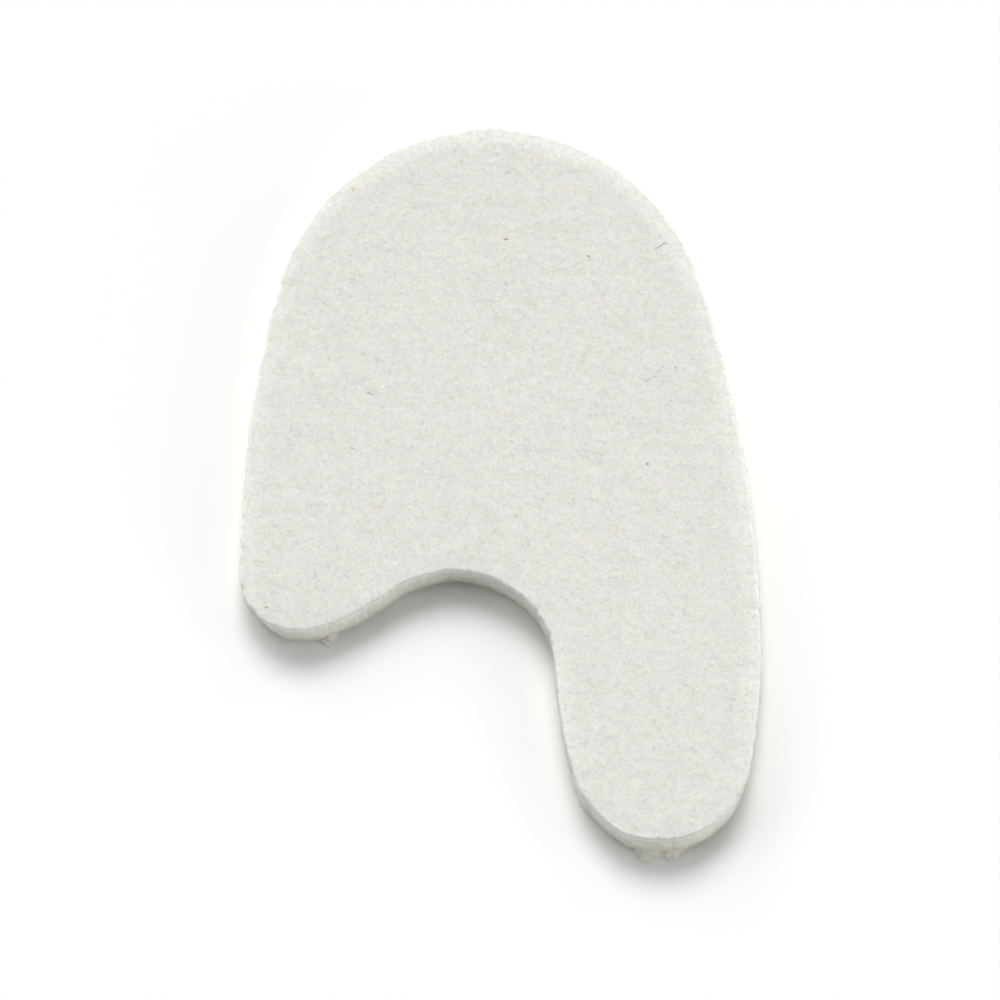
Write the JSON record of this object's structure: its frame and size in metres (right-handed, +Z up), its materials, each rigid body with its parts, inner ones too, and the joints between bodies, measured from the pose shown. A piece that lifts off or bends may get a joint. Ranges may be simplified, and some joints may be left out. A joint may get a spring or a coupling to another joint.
{
  "type": "felt toe separator pad",
  "caption": "Flat felt foot pad with a wide round dome, a short lobe and a long rounded leg round a cut-out that leaves room for the joint of a toe.",
  "frame": {"origin": "on the surface that the pad lies on, under the middle of its box", "axes": "+Z up through the felt, +Y to the round dome, -Y to the tip of the long leg, +X to the side of the leg"},
  "size_m": [0.058, 0.0834, 0.0047],
  "materials": {
    "felt": "soft needled felt, off-white with a faint grey-green cast, finely speckled",
    "adhesive_film": "thin cream film of adhesive, torn at the edge"
  },
  "bodies": {
    "root": {"felt_pad": "felt", "adhesive_backing": "adhesive_film"}
  },
  "joints": []
}
